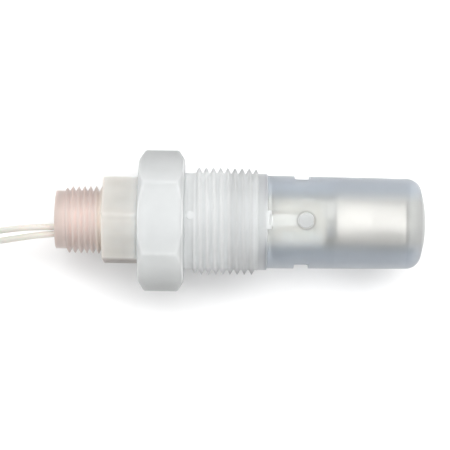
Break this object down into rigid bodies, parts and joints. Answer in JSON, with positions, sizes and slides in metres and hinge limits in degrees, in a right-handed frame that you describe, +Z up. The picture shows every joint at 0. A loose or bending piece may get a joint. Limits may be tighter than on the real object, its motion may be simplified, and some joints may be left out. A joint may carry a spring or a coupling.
{
  "type": "liquid level switch",
  "caption": "Plastic liquid level switch with a large and a small pipe thread, hexagons, two lead wires, and a float on a stem inside a frosted slosh shield.",
  "frame": {"origin": "on the axis, at the tank-side face of the large hexagon, where the tank thread's neck starts", "axes": "+X along the axis from the lead wires to the shield's tip, +Z up, out of the flat of the large hexagon opposite the one that it lies on"},
  "size_m": [0.1743, 0.0636, 0.0382],
  "materials": {
    "milky_plastic": "milky translucent polypropylene, moulded",
    "stem_plastic": "milky translucent polypropylene, moulded",
    "frosted_plastic": "frosted translucent polypropylene, thin wall",
    "pink_epoxy": "cast epoxy",
    "float_steel": "satin stainless steel",
    "ferrite": "sintered magnet",
    "spring_steel": "spring steel",
    "capsule_glass": "clear glass",
    "reed_metal": "plated nickel iron",
    "sleeve": "shrunk sleeve",
    "lead_insulation": "cream insulation, satin",
    "tie": "coated wire tie",
    "tinned_copper": "tinned strands"
  },
  "bodies": {
    "root": {"process_bushing": "milky_plastic", "stem_body": "stem_plastic", "slosh_shield": "frosted_plastic", "potting": "pink_epoxy", "float_clip": "spring_steel", "reed_glass": "capsule_glass", "reed_blade_lead_side": "reed_metal", "reed_blade_tip_side": "reed_metal", "splice_sleeve_1": "sleeve", "splice_sleeve_2": "sleeve", "return_lead_sleeve": "sleeve", "lead_1_inner": "lead_insulation", "lead_2_inner": "lead_insulation", "lead_1_run": "lead_insulation", "lead_2_run": "lead_insulation", "lead_coil": "lead_insulation", "coil_tie": "tie", "lead_1_tip": "tinned_copper", "lead_2_tip": "tinned_copper"},
    "float": {"float_shell_lead_side": "float_steel", "float_shell_tip_side": "float_steel", "float_tube": "float_steel", "float_magnet": "ferrite"}
  },
  "joints": [
    {"name": "float_slide", "type": "slide", "parent": "root", "child": "float", "axis": [-1, 0, 0], "range_m": [0, 0.0022]}
  ]
}
